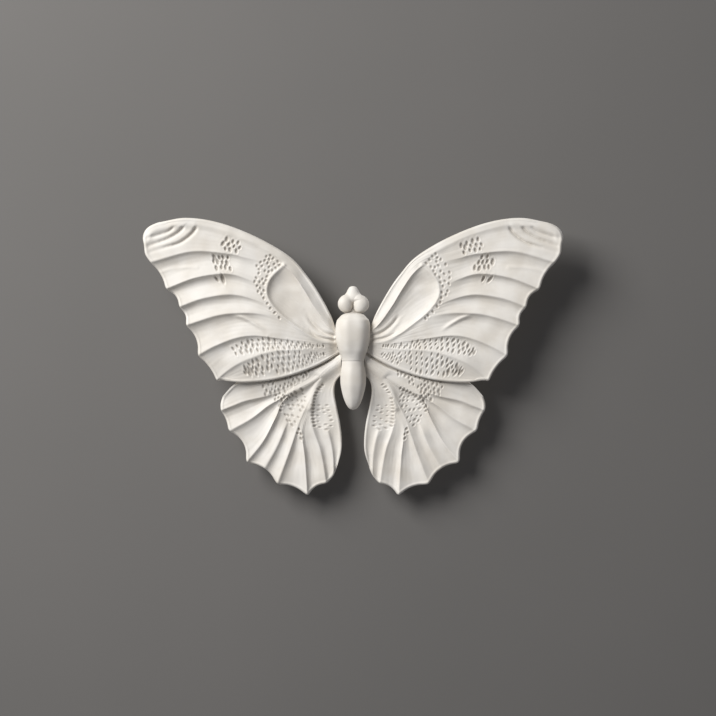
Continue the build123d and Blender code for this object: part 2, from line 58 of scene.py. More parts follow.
# Upper wings. Ribs run from the root to the margin, in hundredths of the reach, measured from the
# thorax's side and middle: the leading edge, six veins and the trailing edge. Each hollow between two
# ribs has a depth in millimetres, and the shares of the ribs' length where it starts and is full. Between
# two ribs the margin is cut in by a scallop, as a share of their distance. The wing leans forwards by its
# tilt in degrees, from a root whose back is root_depth from the wall. Its grid has so many columns across
# each hollow, and so many rows along it.
FOREWING = {
    "reach": 91.75,
    "thickness": 4.5,
    "root_depth": 13.4,
    "tilt": 4.0,
    "ribs": [
        [(0.2, 4.2), (2.9, 11.4), (9.1, 22.7), (15.3, 31.7), (24.3, 41.5), (41, 51.3), (60, 58.6), (77, 61.2),
         (91, 59)],
        [(0.2, 1.9), (5.4, 6.6), (11.6, 15.2), (17, 24.1), (22.8, 32.4), (29, 36.6), (38, 38.6), (47, 40.6),
         (56, 42.6), (75, 43.6), (95.5, 37.9)],
        [(-0.6, 0.6), (8, 4.6), (16, 11.4), (24, 18.2), (31, 22.6), (38.5, 25.8), (47, 29.8), (57.5, 32.2),
         (72.8, 30), (87.8, 24.2)],
        [(-0.8, -0.6), (10, 2.2), (21, 7.6), (31, 13.3), (41.1, 18.4), (54.2, 21.4), (68.9, 19.4), (81, 15)],
        [(-0.8, -2), (9, -0.6), (18, 3.4), (27.5, 8.2), (36, 11), (47, 12), (60.8, 10.8), (77.7, 5.6)],
        [(-0.6, -3.8), (9, -3.4), (19, -2.4), (31, -0.9), (42.2, 0.3), (52, -1), (62.9, -5.2), (71.6, -9.9)],
        [(-0.6, -5.8), (7, -6.6), (16, -7.1), (26.5, -7.2), (37.4, -8.9), (48.3, -13), (55.5, -17.3),
         (61.7, -22.8)],
        [(-1.8, -8.6), (4.7, -12.6), (12, -16.3), (22.8, -20.2), (33.8, -22.8), (44.7, -23.9), (51.2, -23.9),
         (57.5, -22.9)],
    ],
    "tip": [(91, 59), (94.9, 57.7), (98.2, 55.6), (100.2, 51.2), (98.7, 46), (99.3, 43), (95.5, 37.9)],
    "scallops": [0.08, 0.17, 0.165, 0.145, 0.065, 0.02],
    "hollows": [(0.9, 0.5, 0.78), (1.9, 0.42, 0.74), (2.0, 0.44, 0.75), (1.8, 0.42, 0.75), (2.0, 0.36, 0.75),
                (1.5, 0.1, 0.75), (0.4, 0.2, 0.6)],
    "splits": {},
    "columns": [54, 44, 36, 30, 46, 42, 40],
    "rows": 300,
}

# Lower wings, in the same way: the hidden top edge, six veins and the inner edge. Two of the hollows
# are split by a short vein from some share of their length.
HINDWING = {
    "reach": 55.0,
    "thickness": 4.0,
    "root_depth": 9.0,
    "tilt": 3.0,
    "ribs": [
        [(-4, -10), (15, -12), (30, -17), (45, -22), (60, -28), (75, -34), (88, -41), (98, -51)],
        [(-4, -15), (12, -22), (26, -35), (43, -46), (60.8, -52), (78.6, -56), (90, -60.4), (99.6, -64)],
        [(-4, -19), (9, -30), (19.5, -39.6), (37, -47.6), (50, -55), (60, -61), (74, -71.8), (93, -82)],
        [(-4, -22), (11, -33), (24, -43), (38, -49.4), (47, -57.5), (53, -71.5), (63.8, -92), (78.6, -110)],
        [(-4, -25), (9.3, -34), (16.2, -41.5), (22.3, -54), (27.6, -66), (33.5, -80), (41, -101.6),
         (51.4, -128.8)],
        [(-4.2, -27.5), (8, -36), (15.8, -43.6), (21.8, -57), (25.6, -69), (29.6, -83), (27, -106),
         (24.6, -138.8)],
        [(-4.5, -30), (7, -38), (14.6, -44), (20, -53), (21.8, -66), (20, -80), (13.2, -100), (8.3, -127.4)],
        [(-5, -33), (-0.9, -37.4), (1.2, -43), (1.3, -51), (-1.2, -64), (-3.6, -76), (-5, -90), (-4.4, -101),
         (-1, -112)],
    ],
    "tip": [(98, -51), (100.2, -58), (99.6, -64)],
    "scallops": [0.05, 0.2, 0.17, 0.12, 0.133, -0.1],
    "hollows": [(0.9, 0.5, 0.8), (1.6, 0.48, 0.76), (1.6, 0.42, 0.7), (1.6, 0.26, 0.42), (1.5, 0.5, 0.75),
                (1.5, 0.42, 0.75), (1.3, 0.2, 0.4)],
    "splits": {3: 0.55, 6: 0.5},
    "columns": [36, 38, 42, 46, 38, 38, 44],
    "rows": 270,
}

# Rounded nubs where the veins reach the margin, the rounding of a wing's edge, the thin lip inside it and
# the crest along each vein, in millimetres
NUB_RADIUS = 2.0
NUB_REACH = 0.3
EDGE_RADIUS = 0.8
LIP_INSET = 0.9
LIP_RADIUS = 0.5
LIP_RISE = 0.18
CREST_RADIUS = 0.8
CREST_RISE = 0.2

# How late from root to margin the margin's shape and the nubs take hold, as powers of the share, and the
# grid steps over which the margin is eased
MARGIN_POWER = 3.5
NUB_POWER = 14
NUB_EASING = (5, 3)

# A flute is steep under the vein above it and then rises slowly, by two powers. A short vein splits it within
# a share of its length, and leaves a share of its depth.
FLUTE_STEEP = 0.85
FLUTE_RISE = 1.5
SPLIT_LENGTH = 0.15
SPLIT_DEPTH = 0.8

# Waves all over a wing, and finer tool marks along its flutes, in millimetres. A mark is so many columns
# wide, and there are so many of them from root to margin.
WAVE_LENGTH = 7
WAVE_HEIGHT = 0.22
MARK_HEIGHT = 0.07
MARK_COLUMNS = 5
MARKS_ALONG = 8

# Wash and painted shade go where a place is lower than the mean of some grid steps round it. They reach full
# strength at a depth in millimetres: half strength in broad hollows, and all of it in pits.
WASH_AND_SHADE_STEPS = 4
HOLLOW_WASH_AND_SHADE_DEPTH = 0.9
HOLLOW_WASH_AND_SHADE_MOST = 0.5
PIT_WASH_AND_SHADE_DEPTH = 0.45


def smooth_line(points, shares):
    """Places at shares of the length of a smooth curve through a few points."""
    knots = np.array(points, float)
    padded = np.vstack([2 * knots[0] - knots[1], knots, 2 * knots[-1] - knots[-2]])
    step = np.linspace(0, 1, 24, endpoint=False)[:, None]
    stretches = []
    for before, start, end, after in zip(padded, padded[1:], padded[2:], padded[3:]):
        slope = (end - before) / 2
        bend = before - 2.5 * start + 2 * end - after / 2
        twist = 1.5 * (start - end) + (after - before) / 2
        stretches.append(start + slope * step + bend * step**2 + twist * step**3)
    line = np.vstack([*stretches, knots[-1:]])
    length = np.concatenate([[0], np.cumsum(np.hypot(*np.diff(line, axis=0).T))])
    return np.stack([np.interp(shares * length[-1], length, line[:, axis]) for axis in (0, 1)], axis=-1)


def hollow_share(across):
    """How deep a flute is across its width: steep under the vein above it, then a long rise."""
    deepest = FLUTE_STEEP / (FLUTE_STEEP + FLUTE_RISE)
    return (across / deepest) ** FLUTE_STEEP * ((1 - across) / (1 - deepest)) ** FLUTE_RISE


def ramp(value, start, end):
    """0 before start, 1 after end, and smooth between."""
    share = np.clip((value - start) / (end - start), 0, 1)
    return share * share * (3 - 2 * share)


def bump(distance, width):
    """1 at no distance, falling smoothly to 0 within about two widths."""
    return np.exp(-((distance / width) ** 2))


def margin(wing, flute, across):
    """The outer edge of a wing between two ribs: the tip's curve, or a scallop."""
    if flute == 0:
        return smooth_line(wing["tip"], across)
    start, end = np.array(wing["ribs"][flute][-1]), np.array(wing["ribs"][flute + 1][-1])
    chord = end - start
    inward = np.array([chord[1], -chord[0]]) * wing["scallops"][flute - 1]
    return start + chord * across[:, None] + inward * (4 * across * (1 - across))[:, None]


def on_wing(wing, flute, across, along):
    """Places on a wing, in millimetres, by flute, share across the flute and share along it."""
    upper, lower = (smooth_line(wing["ribs"][rib], along) for rib in (flute, flute + 1))
    ends = np.array(wing["ribs"][flute][-1]), np.array(wing["ribs"][flute + 1][-1])
    straight = ends[0] + (ends[1] - ends[0]) * across[:, None]
    edge = (margin(wing, flute, across) - straight) * (along**MARGIN_POWER)[:, None]
    return (upper + (lower - upper) * across[:, None] + edge) * (wing["reach"] / 100)


def line_on(wing, points, steps=30):
    """A smooth line on a wing, in millimetres, through points in hundredths of its reach."""
    return smooth_line(points, np.linspace(0, 1, steps)) * (wing["reach"] / 100)


def distance_to(line, places):
    """How far each place is from a line of straight stretches."""
    nearest = np.full(len(places), np.inf)
    for start, end in zip(line, line[1:]):
        run = end - start
        share = np.clip(((places - start) @ run) / max(run @ run, 1e-9), 0, 1)
        nearest = np.minimum(nearest, np.hypot(*(places - start - share[:, None] * run).T))
    return nearest


def distance_from(place, places):
    """How far each place is from one place."""
    return np.hypot(*(places - place).T)


def inside(loop, places):
    """Which places lie within a closed loop of points."""
    within = np.zeros(len(places), bool)
    x, y = places.T
    for (x0, y0), (x1, y1) in zip(loop, np.roll(loop, -1, axis=0)):
        if y0 != y1:
            crosses = (y0 > y) != (y1 > y)
            within ^= crosses & (x < x0 + (y - y0) / (y1 - y0) * (x1 - x0))
    return within


def eased(line, reach):
    """A line whose corners are rounded by averaging each point with its neighbours."""
    padded = np.pad(line, [(reach, reach), (0, 0)], mode="edge")
    return sum(padded[shift:shift + len(line)] for shift in range(2 * reach + 1)) / (2 * reach + 1)


def spread_out(sheet, reach):
    """A sheet of heights, averaged over so many grid steps each way."""
    return eased(eased(sheet, reach).T, reach).T


def lay_out(wing):
    """The grid of a wing from root to margin, as flat lists of shares, flutes and places."""
    starts = np.concatenate([[0], np.cumsum(wing["columns"])])
    column = np.arange(starts[-1] + 1)
    flute = np.clip(np.searchsorted(starts, column, side="right") - 1, 0, len(wing["columns"]) - 1)
    across = (column - starts[flute]) / np.array(wing["columns"])[flute]
    along = np.linspace(0, 1, wing["rows"] + 1)
    grid = zip(flute, across)
    places = np.array([on_wing(wing, number, np.full(len(along), share), along) for number, share in grid])
    rim = places[:, -1].copy()
    blunt = rim.copy()
    for rib, start in zip(wing["ribs"][1:-1], starts[1:-1]):
        run = np.subtract(rib[-1], rib[-2])
        near = bump(distance_from(rim[start], rim), NUB_RADIUS)
        blunt += near[:, None] * run / np.hypot(*run) * NUB_REACH
    for reach in NUB_EASING:
        blunt = eased(blunt, reach)
    places += (blunt - rim)[:, None] * (along**NUB_POWER)[None, :, None]
    return {
        "shape": places.shape[:2],
        "along": np.tile(along, len(column)),
        "across": np.repeat(across, len(along)),
        "flute": np.repeat(flute, len(along)),
        "column": np.repeat(column, len(along)),
        "places": places.reshape(-1, 2),
        "outline": np.vstack([places[0], places[:, -1], places[-1, ::-1]]),
    }


def flute_relief(wing, sheet):
    """The hollows between the veins of a wing, and the rounded crest along each vein."""
    relief = np.zeros(len(sheet["along"]))
    last = len(wing["hollows"]) - 1
    for number, (depth, start, end) in enumerate(wing["hollows"]):
        here = sheet["flute"] == number
        along, across = sheet["along"][here], sheet["across"][here]
        share = hollow_share(across)
        if number in wing["splits"]:
            start_split = wing["splits"][number]
            split = ramp(along, start_split, start_split + SPLIT_LENGTH)
            share = share * (1 - split) + hollow_share(2 * across % 1) * split * SPLIT_DEPTH
        upper, lower = (on_wing(wing, number, np.full(len(along), edge), along) for edge in (0.0, 1.0))
        width = np.hypot(*(lower - upper).T)
        crest = bump(across * width, CREST_RADIUS) * (number > 0)
        crest += bump((1 - across) * width, CREST_RADIUS) * (number < last)
        relief[here] = (CREST_RISE * crest - depth * share) * ramp(along, start, end)
    return relief


# Fields of pits: the flute, the shares along and across it, columns and rows, a pit's half length, half width
# and depth in millimetres, and how much the field narrows like a leaf towards its ends
FOREWING_PITS = [
    (0, (0.58, 0.68), (0.5, 0.82), 4, 3, (1.15, 0.65, 0.75), 0.0),
    (1, (0.645, 0.735), (0.22, 0.7), 4, 3, (1.3, 0.65, 0.75), 0.0),
    (2, (0.7, 0.775), (0.24, 0.24), 2, 1, (2.0, 0.68, 0.8), 0.0),
    (5, (0.1, 0.81), (0.22, 0.78), 17, 3, (1.3, 0.6, 0.58), 1.0),
    (6, (0.12, 0.8), (0.1, 0.78), 16, 4, (1.4, 0.6, 0.58), 1.0),
]
HINDWING_PITS = [
    (0, (0.28, 0.66), (0.42, 0.98), 11, 4, (1.0, 0.54, 0.42), 0.0),
    (1, (0.5, 0.6), (0.25, 0.75), 3, 2, (0.85, 0.58, 0.45), 0.0),
    (2, (0.5, 0.56), (0.2, 0.8), 2, 2, (0.85, 0.6, 0.5), 0.0),
    (3, (0.31, 0.58), (0.06, 0.06), 11, 1, (0.9, 0.58, 0.5), 0.0),
    (3, (0.35, 0.6), (0.26, 0.84), 6, 4, (0.95, 0.55, 0.4), 0.5),
    (4, (0.56, 0.62), (0.25, 0.8), 2, 2, (0.9, 0.62, 0.5), 0.0),
    (6, (0.18, 0.56), (0.07, 0.07), 14, 1, (0.95, 0.62, 0.4), 0.0),
    (6, (0.36, 0.6), (0.24, 0.7), 5, 3, (0.9, 0.52, 0.35), 0.4),
]

# A pit strays by shares of its column and row, keeps within shares of the flute's width, leans by some
# radians, grows or shrinks, or is missed. In a leaf it loses shares of its size and depth towards the root.
# Its rim is a share of its depth, and pits that run together keep within a lowest and a highest level.
LEAF_POWER = 0.6
PIT_STRAY = (0.3, 0.4)
PIT_BOUNDS = (0.02, 0.93)
PIT_LOSS = (0.35, 0.5)
PIT_LEAN = 0.25
PIT_GROWTH = (0.7, 1.15)
PIT_MISSED = 0.06
PIT_RIM = 0.14
PIT_LEVELS = (-0.9, 0.1)


def stipple(wing, chance, flute, along, across, columns, rows, size, pinch):
    """Rows of pits on part of a flute: each has a place, a direction, two half sizes and a depth.

    In a field that narrows like a leaf, the pits are smaller and fainter near the root.
    """
    middle, half = sum(across) / 2, (across[1] - across[0]) / 2
    pits = []
    for row in range(rows):
        for column in range(columns):
            share = (column + 0.5 * (row % 2) + chance.uniform(0, PIT_STRAY[0])) / columns
            leaf = 1 - pinch + pinch * max(math.sin(math.pi * share), 0) ** LEAF_POWER
            stray = chance.uniform(-PIT_STRAY[1], PIT_STRAY[1]) / rows
            level = (2 * row / max(rows - 1, 1) - 1 + stray) * leaf
            spot_along = np.full(2, along[0] + (along[1] - along[0]) * share)
            spot_across = np.clip(middle + half * level, *PIT_BOUNDS) + np.array([0, 0.05])
            place, beyond = on_wing(wing, flute, spot_across, spot_along)
            turn = math.atan2(*(beyond - place)[::-1]) + chance.uniform(-PIT_LEAN, PIT_LEAN)
            faint = pinch * (1 - share)
            grow = chance.uniform(*PIT_GROWTH) * (1 - PIT_LOSS[0] * faint)
            depth = size[2] * (1 - PIT_LOSS[1] * faint)
            if chance.random() > PIT_MISSED:
                pits.append((place, turn, size[0] * grow, size[1] * grow, depth))
    return pits


def punched(places, pits):
    """Relief of a set of pits, each an oval hollow with a slightly raised rim."""
    relief = np.zeros(len(places))
    for place, turn, long, wide, depth in pits:
        away = places - place
        near = np.abs(away).max(axis=1) < 3 * long
        run = away[near] @ np.array([math.cos(turn), math.sin(turn)])
        lateral = away[near] @ np.array([-math.sin(turn), math.cos(turn)])
        reach = np.hypot(run / long, lateral / wide)
        relief[near] += PIT_RIM * depth * bump(reach - 1.6, 0.5) - depth * np.exp(-0.9 * reach**3)
    return np.clip(relief, *PIT_LEVELS)


# The bead along an upper wing's leading edge and tip, and the drop outside it, in millimetres. Near the root
# it is a band, which turns into the bead between two shares of the wing's length.
BAND_RISE = 0.4
BAND_END = (0.22, 0.45)
BEAD_INSET = 3.2
BEAD_RADIUS = 1.4
BEAD_RISE = 0.5
EDGE_SLOPE = 3.4
EDGE_DROP = 1.3

# The two ridges round the hollow cell behind the leading edge, in hundredths of the reach. The cell has its
# full depth where it is a certain width, and each ridge has a rise and a radius, in millimetres. The ridges
# start between two shares of the wing's length.
CELL_OUTER = [(1, -3.4), (10.5, -1), (15.6, 1.4), (22.2, 6.2), (29, 11.7), (34.5, 18.3), (35.9, 24.1),
              (33.8, 30.2), (27.2, 36.8)]
CELL_INNER = [(1, 1.8), (5.4, 6.6), (11.6, 15.2), (17, 24.1), (22.8, 32.4), (27.2, 36.8)]
CELL_DEPTH = 2.0
CELL_WIDTH = 14
OUTER_RIDGE = (0.55, 0.9)
INNER_RIDGE = (0.45, 0.8)
RIDGE_START = (0.08, 0.25)

# Pits along a stretch of the cell's outer ridge: their least distance from it and from each other, their half
# sizes and depth, and the width of their belt, which grows between two shares of the ridge
CELL_PIT_TRIES = 400
CELL_PIT_STRETCH = (0.48, 0.99)
CELL_PIT_GAP = 1.3
CELL_PIT_SPACING = 1.75
CELL_PIT = (0.75, 0.55, 0.45)
BELT_SHARES = (0.66, 0.86)
BELT_WIDTHS = (2.2, 8.7)

# The folds near an upper wing's root, the curls at its tip with their strengths, the corner beyond the tip,
# a branch vein and a faint one, all in hundredths of the reach. Their depths and rises are in millimetres.
ROOT_FOLDS = [
    [(16.1, 12.5), (12.9, 7.6), (8.9, 3.6), (5, 1.2), (1, 0.3)],
    [(15.4, 4.2), (11.7, 0.7), (7.8, -1), (1, -2.1)],
]
FOLD_DEPTH = 0.55
FOLD_SIDE_RISE = 0.28
TIP_CURLS = [
    (1.6, [(73, 55.6), (74.9, 53), (80.6, 48.7), (88.6, 46), (96, 43.6)]),
    (1.3, [(79.6, 56), (81.6, 53.8), (87.4, 50.4), (96.6, 47)]),
    (0.8, [(84.4, 56.2), (87, 54.1), (91.6, 52.6), (97.6, 50.8)]),
]
TIP_CORNER = [(104, 44), (104, 64), (72, 64)]
CURL_RISE = 0.35
CURL_DROP = 0.2
CURL_GROOVE = 0.75
FAINT_VEIN = [(94, 31.6), (86.6, 34.2), (80, 35.4), (72, 35.6)]
BRANCH = [(35.2, 1.6), (42.5, 6.6), (48.3, 9.6), (55, 11.2)]
VEIN_RADIUS = 0.9
BRANCH_RISE = 0.9
FAINT_RISE = 0.25

# An upper wing thins towards its hem, which is its lower edge, and dips at the root. A lower wing rises
# towards that hem and keeps a gap behind it, which opens outwards by a share. All are in millimetres.
HEM_WIDTH = 13
HEM_THINNING = 1.8
ROOT_DIP = 1.7
RISE_WIDTH = 10
RISE_TO_HEM = 1.4
HEM_GAP = 0.15
GAP_OPENING = 0.017

# The thick stem of a lower wing and its two branches: a line in hundredths of the reach, then its half
# width and rise in millimetres
STEMS = [
    ([(-7, -19.5), (3, -27), (12, -33.5)], 2.7, 1.5),
    ([(12, -33.5), (23, -40.5), (35, -46.5), (46, -52)], 1.6, 1.0),
    ([(10, -34), (16, -41), (20, -50), (23, -62)], 1.6, 1.0),
]


def pits_by_cell(wing, chance):
    """Pits scattered along the cell's outer ridge, in a belt that widens towards its top."""
    pits = []
    for _ in range(CELL_PIT_TRIES):
        share = chance.uniform(*CELL_PIT_STRETCH)
        start, end = smooth_line(CELL_OUTER, np.array([share, share + 0.005])) * (wing["reach"] / 100)
        run = (end - start) / np.hypot(*(end - start))
        width = np.interp(share, BELT_SHARES, BELT_WIDTHS)
        place = start + np.array([run[1], -run[0]]) * chance.uniform(CELL_PIT_GAP, width)
        if all(np.hypot(*(place - other[0])) > CELL_PIT_SPACING for other in pits):
            pits.append((place, chance.uniform(1.0, 2.4), *CELL_PIT))
    return pits


def leading_edge(wing, sheet):
    """A rolled bead round the leading edge and the tip, which is a sloping band near the root."""
    brim = np.vstack([line_on(wing, wing["ribs"][0], 80), line_on(wing, wing["tip"][:4])])
    edge = distance_to(brim, sheet["places"])
    bead = BEAD_RISE * bump(np.maximum(edge - BEAD_INSET, 0), BEAD_RADIUS)
    bead -= EDGE_DROP * np.clip(1 - edge / EDGE_SLOPE, 0, 1) ** 2
    band = np.where(sheet["flute"] == 0, BAND_RISE - EDGE_DROP * ramp(1 - sheet["across"], 0.0, 0.75), 0)
    towards_tip = ramp(sheet["along"], *BAND_END)
    return bead * towards_tip + band * (1 - towards_tip)


def hollow_cell(wing, sheet):
    """The scooped cell behind the leading edge, and the ridges on both sides of it."""
    outer, inner = line_on(wing, CELL_OUTER, 50), line_on(wing, CELL_INNER, 50)
    to_outer, to_inner = distance_to(outer, sheet["places"]), distance_to(inner, sheet["places"])
    share = to_inner / (to_inner + to_outer + 1e-6)
    scoop = CELL_DEPTH * ramp(to_inner + to_outer, 0, CELL_WIDTH) * (4 * share * (1 - share)) ** 0.8
    within = inside(np.vstack([outer, inner[::-1]]), sheet["places"])
    ridges = OUTER_RIDGE[0] * bump(to_outer, OUTER_RIDGE[1])
    ridges += INNER_RIDGE[0] * bump(to_inner, INNER_RIDGE[1])
    return ridges * ramp(sheet["along"], *RIDGE_START) - np.where(within, scoop, 0)


def root_folds(wing, places):
    """Grooves with raised sides, which gather towards the root."""
    relief = np.zeros(len(places))
    for fold in ROOT_FOLDS:
        line = line_on(wing, fold)
        away = distance_to(line, places)
        fade = ramp(distance_from(line[0], places), 0.5, 6)
        relief += fade * (FOLD_SIDE_RISE * bump(away - 1.5, 0.9) - FOLD_DEPTH * bump(away, 0.7))
    return relief


def tip_curls(wing, places):
    """Steps at the tip with a groove along each, which fade away from their upper ends."""
    corner = np.array(TIP_CORNER) * (wing["reach"] / 100)
    relief = np.zeros(len(places))
    for strength, curl in TIP_CURLS:
        line = line_on(wing, curl)
        away = distance_to(line, places)
        tip_side = inside(np.vstack([line, corner]), places)
        step = np.where(tip_side, CURL_RISE * np.exp(-away / 1.6), -CURL_DROP * bump(away, 1.1))
        fade = 1 - 0.8 * ramp(distance_from(line[0], places), 8, 22)
        relief += strength * fade * (step - CURL_GROOVE * bump(away, 0.7))
    return relief


def small_veins(wing, places):
    """A branch vein that fades at both ends, and a faint vein near the tip."""
    branch, faint = line_on(wing, BRANCH), line_on(wing, FAINT_VEIN)
    fade = ramp(distance_from(branch[0], places), 0.5, 9) * ramp(distance_from(branch[-1], places), 0.5, 6)
    relief = BRANCH_RISE * fade * bump(distance_to(branch, places), VEIN_RADIUS)
    return relief + FAINT_RISE * bump(distance_to(faint, places), VEIN_RADIUS)


def carve_forewing(wing, sheet, chance):
    """Smooth relief of an upper wing, in millimetres above its front face, and its pits."""
    places = sheet["places"]
    relief = flute_relief(wing, sheet) + leading_edge(wing, sheet) + hollow_cell(wing, sheet)
    relief += root_folds(wing, places) + tip_curls(wing, places) + small_veins(wing, places)
    hem = line_on(wing, wing["ribs"][-1], 40)
    relief -= HEM_THINNING * (1 - ramp(distance_to(hem, places), 0, HEM_WIDTH))
    relief -= ROOT_DIP * (1 - ramp(places[:, 0], -1.5, 4.0))
    pits = [pit for field in FOREWING_PITS for pit in stipple(wing, chance, *field)]
    return relief, pits + pits_by_cell(wing, chance)


def carve_hindwing(wing, sheet, chance):
    """Smooth relief of a lower wing, in millimetres above its front face, and its pits."""
    places = sheet["places"]
    stems = [rise * bump(distance_to(line_on(wing, line), places), radius) for line, radius, rise in STEMS]
    relief = flute_relief(wing, sheet) + np.max(stems, axis=0)
    hem = line_on(FOREWING, FOREWING["ribs"][-1], 40)
    relief += RISE_TO_HEM * (1 - ramp(distance_to(hem, places), 0, RISE_WIDTH))
    out, up = places.T
    under = ramp(up - np.interp(out, *hem.T), -1.4, -0.2)
    relief -= under * np.maximum(relief - GAP_OPENING * out + HEM_GAP, 0)
    return relief, [pit for field in HINDWING_PITS for pit in stipple(wing, chance, *field)]


def unevenness(sheet, seed):
    """Slight waves all over a wing, and finer tool marks along its flutes."""
    waves = [noise.noise((out / WAVE_LENGTH, up / WAVE_LENGTH, seed)) for out, up in sheet["places"]]
    grid = zip(sheet["column"], sheet["along"])
    marks = [noise.noise((column / MARK_COLUMNS, share * MARKS_ALONG, seed)) for column, share in grid]
    return WAVE_HEIGHT * np.array(waves) + MARK_HEIGHT * np.array(marks)


def rounded_edge(sheet):
    """How much lower a wing is towards its edge, with a thin lip inside the rounding."""
    # Only places near the edge are measured, and the others count as far from it
    last = sheet["shape"][0] - 1
    near = (sheet["along"] > 0.93) | (sheet["column"] < 10) | (sheet["column"] > last - 10)
    to_edge = np.where(near, 0.0, 10 * EDGE_RADIUS)
    to_edge[near] = distance_to(sheet["outline"], sheet["places"][near])
    inset = np.clip(EDGE_RADIUS - to_edge, 0, EDGE_RADIUS)
    return np.sqrt(EDGE_RADIUS**2 - inset**2) - EDGE_RADIUS + LIP_RISE * bump(to_edge - LIP_INSET, LIP_RADIUS)


def wash_and_shade_held(relief, holes, shape):
    """How much wash and painted shade each place gets: some in the broad hollows, and more in the pits."""
    level = relief.reshape(shape)
    hollow = (spread_out(spread_out(level, WASH_AND_SHADE_STEPS), WASH_AND_SHADE_STEPS) - level).ravel()
    in_hollows = np.clip(hollow / HOLLOW_WASH_AND_SHADE_DEPTH, 0, HOLLOW_WASH_AND_SHADE_MOST)
    return np.maximum(in_hollows, np.clip(-holes / PIT_WASH_AND_SHADE_DEPTH, 0, 1))


def make_wing(name, wing, carve, side, seed, material):
    """A carved wing: a grid from root to margin, moved to its place and relief, with a flat back."""
    sheet = lay_out(wing)
    smooth, pits = carve(wing, sheet, random.Random(seed))
    smooth = spread_out(smooth.reshape(sheet["shape"]), 1).ravel()
    holes = punched(sheet["places"], pits)
    relief = smooth + holes + unevenness(sheet, seed)
    height = wing["thickness"] + relief + rounded_edge(sheet)
    # Darker in the hollows and pits, partly from the wash and partly from painted shade
    recess = wash_and_shade_held(relief, holes, sheet["shape"])

    bm = bmesh.new()
    last = sheet["shape"][0] - 1
    bmesh.ops.create_grid(bm, x_segments=wing["rows"], y_segments=last, size=0.5)
    lean = math.radians(wing["tilt"])
    outward = Vector((side * math.cos(lean), -math.sin(lean), 0))
    forward = Vector((-side * math.sin(lean), -math.cos(lean), 0))
    root = Vector((side * THORAX_SIDE, -wing["root_depth"], THORAX_MIDDLE))
    # Each point carries its wash and painted shade in the recess attribute
    wash_and_shade = bm.verts.layers.float.new("recess")
    for vert in bm.verts:
        row, column = round((vert.co.x + 0.5) * wing["rows"]), round((vert.co.y + 0.5) * last)
        spot = column * (wing["rows"] + 1) + row
        out, up = sheet["places"][spot]
        vert.co = (root + outward * out + Vector((0, 0, up)) + forward * height[spot]) * MM
        vert[wash_and_shade] = recess[spot]
    rim = [edge for edge in bm.edges if edge.is_boundary]
    made = bmesh.ops.extrude_edge_only(bm, edges=rim)["geom"]
    for vert in (item for item in made if isinstance(item, bmesh.types.BMVert)):
        vert.co -= forward * (vert.co - root * MM).dot(forward)
    bmesh.ops.holes_fill(bm, edges=[edge for edge in bm.edges if edge.is_boundary], sides=0)
    bmesh.ops.triangulate(bm, faces=[face for face in bm.faces if len(face.verts) > 4])
    bmesh.ops.recalc_face_normals(bm, faces=bm.faces)
    return finish_piece(name, bm, material, "white_cast_resin")


def finish_piece(name, bm, material, slot=None, sharp=50):
    """Turns a bmesh into a smooth-shaded piece of one material, which rides the ornament when a slot is
    given.
    """
    for face in bm.faces:
        face.smooth = True
    mesh = bpy.data.meshes.new(name)
    bm.to_mesh(mesh)
    bm.free()
    mesh.set_sharp_from_angle(angle=math.radians(sharp))
    mesh.materials.append(material)
    piece = bpy.data.objects.new(name, mesh)
    bpy.context.scene.collection.objects.link(piece)
    if slot:
        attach(piece, "ornament")
    return piece


def cut_from(piece, bm):
    """Cuts the solids of a bmesh out of a piece."""
    cutter = finish_piece("cutter", bm, None)
    change = piece.modifiers.new("cut", "BOOLEAN")
    change.object = cutter
    change.solver = "EXACT"
    held = bpy.context.evaluated_depsgraph_get()
    mesh = bpy.data.meshes.new_from_object(piece.evaluated_get(held))
    piece.modifiers.clear()
    piece.data = mesh
    bpy.data.objects.remove(cutter)


def make_round(name, profile, section, material, centre=(0, BODY_AXIS), bow=0.0):
    """A rounded body piece: a sphere drawn out to half widths and heights, then shaped by its section.

    The section gives a point's place sideways and forwards, and its wash and painted shade, by turn, height
    and half width.
    """
    bm = bmesh.new()
    bmesh.ops.create_uvsphere(bm, u_segments=160, v_segments=120, radius=1)
    latitude = np.array([math.acos(max(-1, min(1, vert.co.z))) / math.pi for vert in bm.verts])
    drawn = smooth_line(profile, latitude)
    top, bottom = profile[0][1], profile[-1][1]
    # The section's last value is the point's wash and painted shade
    wash_and_shade = bm.verts.layers.float.new("recess")
    for vert, (width, up) in zip(bm.verts, drawn):
        turn = math.atan2(vert.co.x, -vert.co.y)
        sideways, forward, depth = section(turn, up, max(width, 0))
        sideways += centre[0] * (1 - bow * ((2 * up - top - bottom) / (top - bottom)) ** 2)
        vert.co = Vector((sideways, -centre[1] - forward, THORAX_MIDDLE + up)) * MM
        vert[wash_and_shade] = depth
    bmesh.ops.recalc_face_normals(bm, faces=bm.faces)
    return finish_piece(name, bm, material, "white_cast_resin")


WAIST = -11.8  # height of the seam between thorax and abdomen, from the thorax's middle
CROWN_DEPTH = 4.2  # the crown and its skirt are at most this thick in front of the body's axis
EYE_FORWARD = 1.5  # the eyes' middle in front of the body's axis
EYE_HEIGHT = 4.4  # half height
EYE_BOW = 0.15  # their ends lie nearer to the middle of the body by this share
